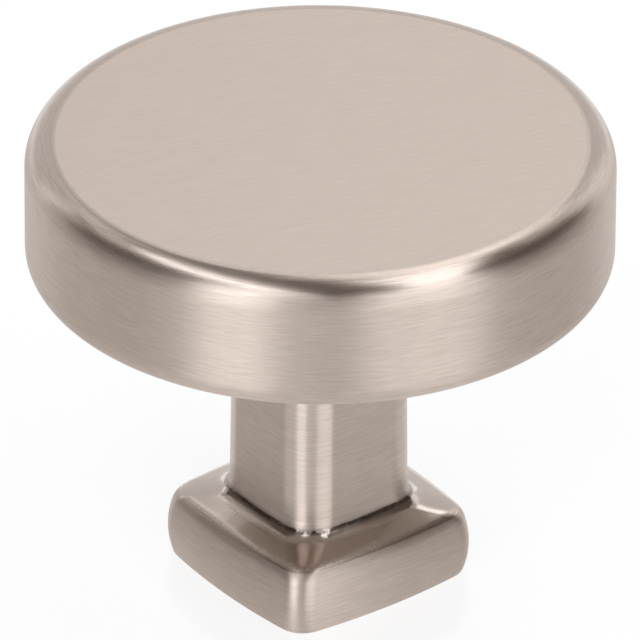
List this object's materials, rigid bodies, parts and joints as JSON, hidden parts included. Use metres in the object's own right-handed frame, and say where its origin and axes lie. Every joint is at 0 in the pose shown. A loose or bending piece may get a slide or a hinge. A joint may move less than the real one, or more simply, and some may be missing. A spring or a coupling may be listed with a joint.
{
  "type": "cabinet knob",
  "caption": "Round cabinet knob: a thick disc with rounded rims on a square neck and a small cushioned square foot, tapped from behind for one screw.",
  "frame": {"origin": "centre of the foot's flat mounting face", "axes": "+Z from the mounting face to the front of the disc, X and Y square to the sides of the foot and neck"},
  "size_m": [0.032, 0.032, 0.0265],
  "materials": {
    "satin_nickel": "satin brushed nickel plate"
  },
  "bodies": {
    "root": {"knob": "satin_nickel"}
  },
  "joints": []
}
